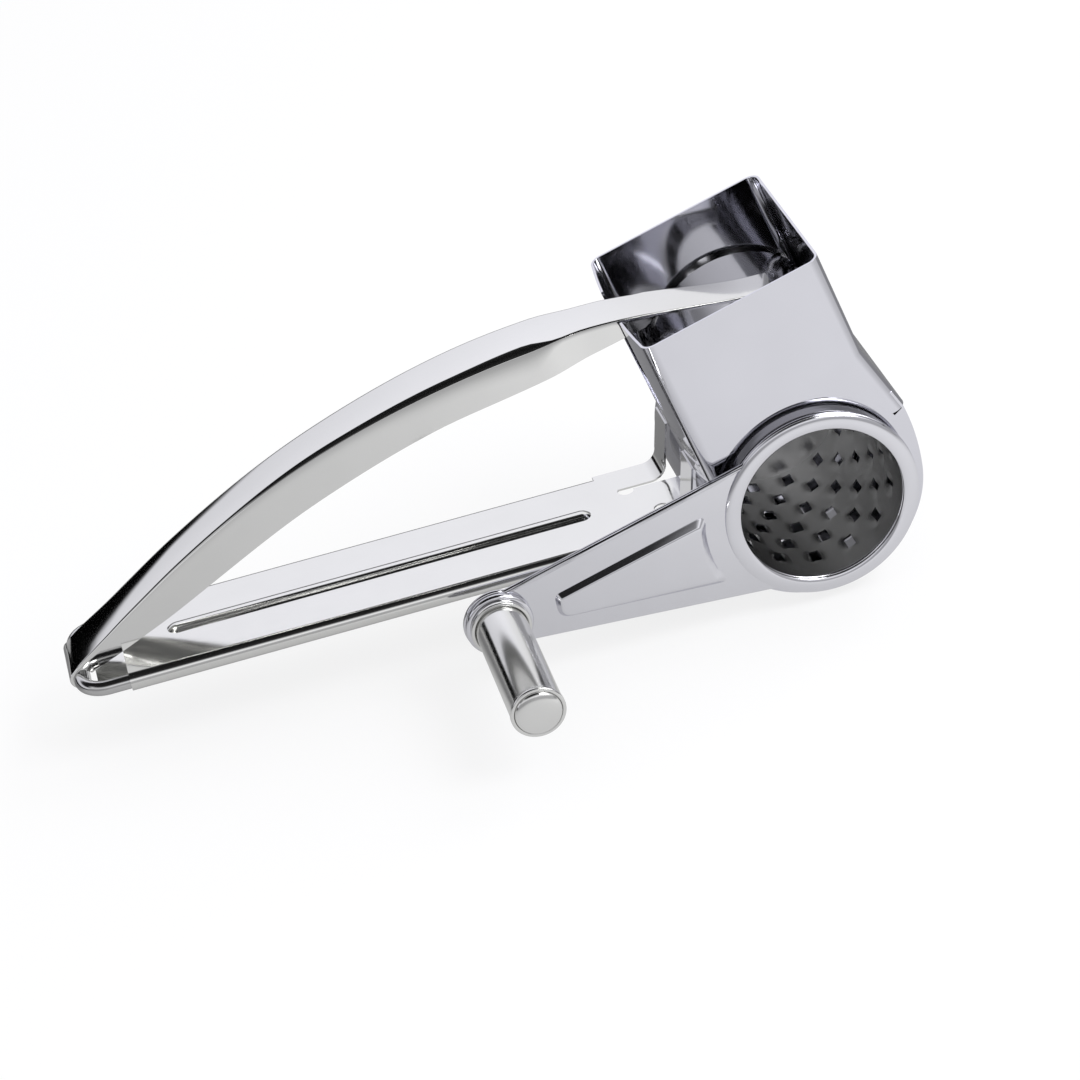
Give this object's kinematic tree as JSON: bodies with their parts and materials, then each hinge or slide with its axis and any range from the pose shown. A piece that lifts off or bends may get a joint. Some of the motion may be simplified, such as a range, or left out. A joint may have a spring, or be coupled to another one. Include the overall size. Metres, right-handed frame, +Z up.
{
  "type": "rotary drum shredder",
  "caption": "Hand cranked drum shredder: two hinged handles press a curved plate down a square hopper onto a turning grating drum, with a tapered crank and a tube knob.",
  "frame": {"origin": "bottom centre of the bounding box, under the round housing's lowest line", "axes": "+X along the lower handle from its hinge end towards the hopper, +Y away from the crank and parallel to the drum's axis, +Z up"},
  "size_m": [0.2082, 0.0952, 0.0887],
  "materials": {
    "polished_steel": "polished stainless steel",
    "satin_steel": "satin stainless steel",
    "bush_plastic": "moulded"
  },
  "bodies": {
    "frame": {"lower_handle": "polished_steel", "handle_bow": "polished_steel", "hopper_shell": "polished_steel", "drum_housing": "polished_steel", "front_ring": "polished_steel", "back_plate": "polished_steel"},
    "press_arm": {"press_handle": "polished_steel", "pusher_plate": "polished_steel", "pusher_saddle": "polished_steel"},
    "drum": {"crank_plate": "polished_steel", "crank_collar": "polished_steel", "grating_drum": "satin_steel", "drum_rim": "satin_steel", "drum_disc": "satin_steel", "hub_pin": "satin_steel", "hub_washer": "satin_steel", "hub_clip": "satin_steel", "knob_spindle": "satin_steel", "spindle_washer": "satin_steel"},
    "knob": {"knob_tube": "polished_steel", "knob_end_ring": "polished_steel", "knob_end_cap": "polished_steel", "knob_base_ring": "polished_steel", "knob_bushes": "bush_plastic"}
  },
  "joints": [
    {"name": "press_hinge", "type": "hinge", "parent": "frame", "child": "press_arm", "pos_m": [-0.10146, 0.02245, 0.021], "axis": [0, -1, 0], "range_deg": [-6.5, 100]},
    {"name": "crank_turn", "type": "hinge", "parent": "frame", "child": "drum", "pos_m": [0.07754, 0.02245, 0.0266], "axis": [0, -1, 0], "continuous": true},
    {"name": "knob_spin", "type": "hinge", "parent": "drum", "child": "knob", "pos_m": [-0.00377, -0.01755, 0.0189], "axis": [0, -1, 0], "continuous": true}
  ]
}
